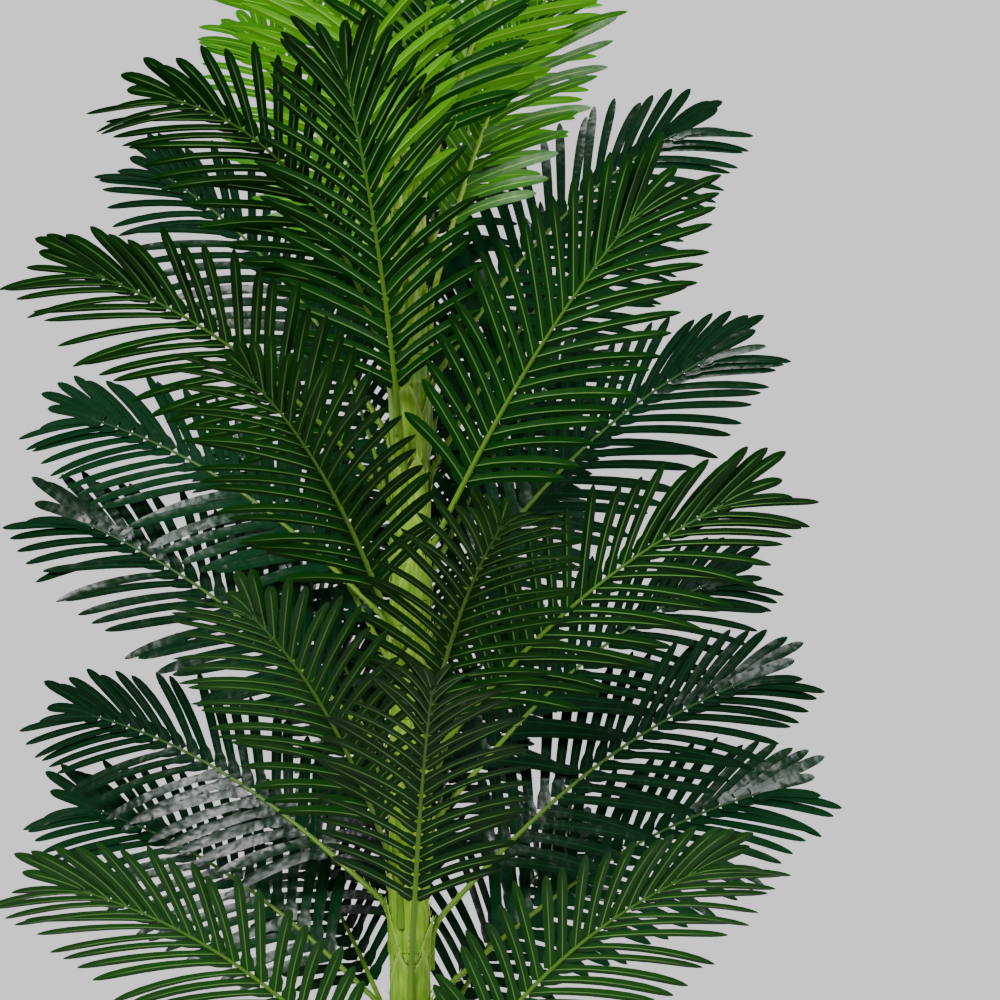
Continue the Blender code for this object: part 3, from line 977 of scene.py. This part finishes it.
def makeLeaves(fronds):
    tree = leafletTree()
    template = leafTemplate()
    obstacles = [boxedTree(*stemTube())]
    ribs = []
    steps = rib["steps"]
    for frond in fronds:
        length = bladeStart() + palm["blade"] * frond["scale"]
        frond["stations"] = walkFrond(
            frond, [length * index / steps for index in range(steps + 1)])
        ribs.append(boxedTree(*ribTube(frond["stations"])))
    grown = {False: [], True: []}
    for index, frond in enumerate(fronds):
        rows, ownTree = growFrond(frond, obstacles + ribs[:index] + ribs[index + 1:])
        obstacles.append(ownTree)
        grown[frond["young"]].append((frond, rows))
    middle = len(grown[False]) // 2
    groups = (
        ("darkLeavesLow", grown[False][:middle], "darkUnder", "darkUpper", "leaf_green"),
        ("darkLeavesHigh", grown[False][middle:], "darkUnder", "darkUpper", "leaf_green"),
        ("limeLeaves", grown[True], "limeUnder", "limeUpper", "leaf_lime"),
    )
    made = {key: leafMaterial(key) for key in leafFinish}
    for name, members, under, upper, slot in groups:
        rows = [row for _, frondRows in members for row in frondRows]
        marks = {key: [row[key] for row in rows] for key in rows[0]}
        piece = applyTree(name, marks["leafRoot"], marks, tree, {
            "Leaflet": template, "Fold": leaflet["fold"],
            "Under": made[under], "Upper": made[upper]})
        piece.data.shade_smooth()
        piece.data.set_sharp_from_angle(angle=math.radians(leaflet["smoothAngle"]))
        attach(piece, "root")
        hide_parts(*[frond["node"] for frond, _ in members])
        print(name, len(rows), "leaflets", len(piece.data.polygons), "faces")
    bpy.data.objects.remove(template, do_unlink=True)


stem = {
    "sides": 72,
    "footGap": 0.0003,
    "inset": 0.0010,
    "ringPitch": 0.035,
    "ringLip": 0.0009,
    "ringShape": ((0.0, 0.0), (0.80, 0.4), (0.92, 1.0)),  # shares of the pitch and the lip
    # painted highlight: how far each ring lip is tinted toward the pale colour
    "ringHighlightTone": 0.25,
    "topEdge": 0.004,
    "poleRadius": 0.002,
    "smoothAngle": 40.0,
    "guardSides": 16,  # the plain stem that leaflets keep clear of
    "guardRoom": 0.001,
    "core": (0.36, 0.62, 0.018),
    "pale": (0.52, 0.72, 0.13),
    "shade": (0.07, 0.27, 0.006),
    "roughness": 0.45,
    "streaks": (60.0, 4.0, (4.0, 4.0, 0.35)),  # drawn out along the stem
    "streakRange": (0.30, 0.72),
    "streakStrength": 0.35,
    "streakDepth": 0.0012,
}


def stemTube():
    heights = (palm["fillTop"], palm["taperStart"], palm["stemTop"])
    profile = [(stemRadius(height) + stem["guardRoom"], height) for height in heights]
    return turnRings(profile, stem["guardSides"])


def stemMaterial(name):
    material, tree, shader = plainMaterial(name, stem["core"], stem["roughness"])
    streaks = noiseNode(tree, *stem["streaks"])
    body = colourMix(tree, rangeNode(tree, streaks, *stem["streakRange"]), stem["shade"],
                     stem["core"])
    # toward the pale colour by edgeTone: the sheaths' pale edges and bands, and a painted
    # highlight on the stem's ring lips
    fade = colourMix(tree, attributeNode(tree, "edgeTone"), body, stem["pale"])
    tree.links.new(fade, shader.inputs["Base Color"])
    addBump(tree, shader, streaks, stem["streakStrength"], stem["streakDepth"])
    return material


def makeStem(material):
    pitch, lip, shape = stem["ringPitch"], stem["ringLip"], stem["ringShape"]
    profile = []
    height = palm["fillTop"] + stem["footGap"]
    while height < palm["stemTop"] - pitch:
        radius = stemRadius(height) - stem["inset"]
        profile.extend((radius + lip * out, height + pitch * rise) for rise, out in shape)
        height += pitch
    profile.append((stemRadius(palm["stemTop"]), palm["stemTop"] - stem["topEdge"]))
    profile.append((stem["poleRadius"], palm["stemTop"]))
    sides = stem["sides"]
    points, faces = turnSolid(profile, sides)
    # the last ring of points in each shape is the lip, painted paler as a highlight
    tones = [stem["ringHighlightTone"] if index // sides % len(shape) == len(shape) - 1 else 0.0
             for index in range(len(points))]
    piece = addPiece("ringedStem", points, faces, material, stem["smoothAngle"],
                     {"edgeTone": tones})
    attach(piece, "root")
    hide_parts("stem")


sheath = {
    "length": 0.115,
    "youngShare": 0.8,
    "aboveFill": 0.004,
    "wrap": 118.0,
    "narrowing": 0.28,
    "seat": 0.0002,
    "flare": 0.0030,
    "lipFlare": 0.0035,
    "lipFrom": (0.72, 0.28),
    "thickness": 0.0007,
    "lobeAt": 0.36,
    "lobeWidth": 0.26,
    "lobePower": 1.4,
    "lobeRise": 0.030,
    "notch": 0.80,
    "lobeShare": 0.20,
    "sideDrop": 0.55,
    "sideFrom": (0.52, 0.48),
    "acrossSteps": 22,
    "upSteps": 8,
    "edgeTone": 0.75,
    "edgeFrom": (0.80, 0.20),
    "bandTone": 0.15,
    "bandEvery": 3,
    "smoothAngle": 60.0,
}
spike = {
    "length": 0.013,
    "footRadius": 0.0012,
    "tipRadius": 0.0001,
    "sides": 5,
    "roughness": 0.4,
    "lobeReach": (0.18, 0.92),  # part of the edge with spikes, at every other column
    "lobeLean": 0.45,
    "lobeSizes": (0.5, 1.0),
    "pitch": 0.012,
    "pairs": 6,
    "firstPair": 0.004,
    "edge": 0.0048,
    "edgeAlong": 0.8,
    "edgeOut": 0.55,
    "edgeSizes": (0.6, 1.0),
    "edgeLoss": 0.08,
}


def sheathTop(across):
    # share of the height where the sheath ends: notch, two pointed lobes, low sides
    lobe = max(0.0, 1.0 - abs(abs(across) - sheath["lobeAt"]) / sheath["lobeWidth"])
    sideFrom, sideOver = sheath["sideFrom"]
    drop = sheath["sideDrop"] * smoothStep((abs(across) - sideFrom) / sideOver)
    return sheath["notch"] + sheath["lobeShare"] * lobe ** sheath["lobePower"] - drop


def sheathFaces(base):
    # outer and inner skin and the four edges between them
    columns, levels = sheath["acrossSteps"], sheath["upSteps"]
    row = columns + 1
    skin = row * (levels + 1)
    faces = []
    for level in range(levels):
        for column in range(columns):
            low = base + level * row + column
            faces.append([low, low + 1, low + row + 1, low + row])
            high = low + skin
            faces.append([high + row, high + row + 1, high + 1, high])
    for column in range(columns):
        low = base + column
        faces.append([low + skin, low + skin + 1, low + 1, low])
        high = base + levels * row + column
        faces.append([high, high + 1, high + skin + 1, high + skin])
    for level in range(levels):
        low = base + level * row
        faces.append([low, low + row, low + row + skin, low + skin])
        high = low + columns
        faces.append([high + skin, high + row + skin, high + row, high])
    return faces


def makeSheaths(fronds, material):
    points, faces, tones, spikes = [], [], [], []
    columns, levels = sheath["acrossSteps"], sheath["upSteps"]
    lipFrom, lipOver = sheath["lipFrom"]
    edgeFrom, edgeOver = sheath["edgeFrom"]
    nearest, furthest = spike["lobeReach"]
    for frond in fronds:
        top = frond["height"] + sheath["lobeRise"]
        length = sheath["length"] * (sheath["youngShare"] if frond["young"] else 1.0)
        floor = max(palm["fillTop"] + sheath["aboveFill"], top - length)
        base = len(points)
        for thickness in (sheath["thickness"], 0.0):
            for level in range(levels + 1):
                for column in range(columns + 1):
                    across = 2.0 * column / columns - 1.0
                    share = level / levels * sheathTop(across)
                    height = floor + (top - floor) * share
                    lip = sheath["lipFlare"] * smoothStep((share - lipFrom) / lipOver)
                    flare = sheath["flare"] * share + lip
                    radius = stemRadius(height) + sheath["seat"] + flare + thickness
                    narrowed = 1.0 - sheath["narrowing"] * share
                    angle = frond["heading"] + math.radians(sheath["wrap"]) * across * narrowed
                    points.append(around(radius, angle, height))
                    edge = smoothStep((level / levels - edgeFrom) / edgeOver)
                    band = sheath["bandTone"] * ((level + 1) % sheath["bandEvery"] == 0)
                    tones.append(sheath["edgeTone"] * edge + band)
                    onLobe = nearest < abs(across) < furthest and column % 2 == 0
                    if thickness and level == levels and onLobe:
                        way = (up + around(1.0, angle, 0.0) * spike["lobeLean"]).normalized()
                        spikes.append((points[-1].copy(), way,
                                       random.uniform(*spike["lobeSizes"])))
        faces.extend(sheathFaces(base))
        spikes.extend(petioleSpikes(frond))
    piece = addPiece("claspingSheaths", points, faces, material, sheath["smoothAngle"],
                     {"edgeTone": tones})
    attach(piece, "root")
    print("claspingSheaths", len(faces), "faces")
    return spikes


def petioleSpikes(frond):
    start = palm["clasp"] + spike["firstPair"]
    distances = [start + spike["pitch"] * step for step in range(spike["pairs"])]
    spikes = []
    for step, (place, tangent, side, upper) in enumerate(walkFrond(frond, distances)):
        for hand in (1, -1):
            way = (tangent * spike["edgeAlong"] + side * hand * spike["edgeOut"]).normalized()
            size = random.uniform(*spike["edgeSizes"]) * (1.0 - spike["edgeLoss"] * step)
            spikes.append((place + side * hand * spike["edge"], way, size))
    return spikes


def spikeTree():
    desk = NodeDesk("spikeRows", (
        ("Length", "NodeSocketFloat"), ("Foot Radius", "NodeSocketFloat"),
        ("Tip Radius", "NodeSocketFloat"), ("Finish", "NodeSocketMaterial")))
    cone = desk.add("GeometryNodeMeshCone", {
        "Vertices": spike["sides"], "Radius Top": desk.source["Tip Radius"],
        "Radius Bottom": desk.source["Foot Radius"], "Depth": desk.source["Length"]})["Mesh"]
    turn = desk.add("FunctionNodeAlignRotationToVector",
                    {"Vector": desk.direction("spikeWay")}, axis="Z")[0]
    spikes = desk.spread(cone, turn, desk.named("spikeSize"))
    return desk.end(desk.setMaterial(spikes, desk.source["Finish"]))


def makeSpikes(spikes):
    spots, ways, sizes = (list(column) for column in zip(*spikes))
    finish = plainMaterial("spikePlastic", stem["pale"], spike["roughness"])[0]
    piece = applyTree("sheathSpikes", spots, {"spikeWay": ways, "spikeSize": sizes},
                      spikeTree(), {
                          "Length": spike["length"], "Foot Radius": spike["footRadius"],
                          "Tip Radius": spike["tipRadius"], "Finish": finish})
    piece.data.shade_smooth()
    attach(piece, "root")
    print("sheathSpikes", len(spots), "spikes")


random.seed(11)  # the same plant at every run
makeCamera()
makeStudio()
print("camera, light and floor ready")
makePot()
makePebbles(makeFill())
print("pot and filling ready")
allFronds = listFronds()
makeLeaves(allFronds)
makeRibs(allFronds)
limePlastic = stemMaterial("stemPlastic")
makeStem(limePlastic)
makeSpikes(makeSheaths(allFronds, limePlastic))
print("stem, sheaths and fronds ready")
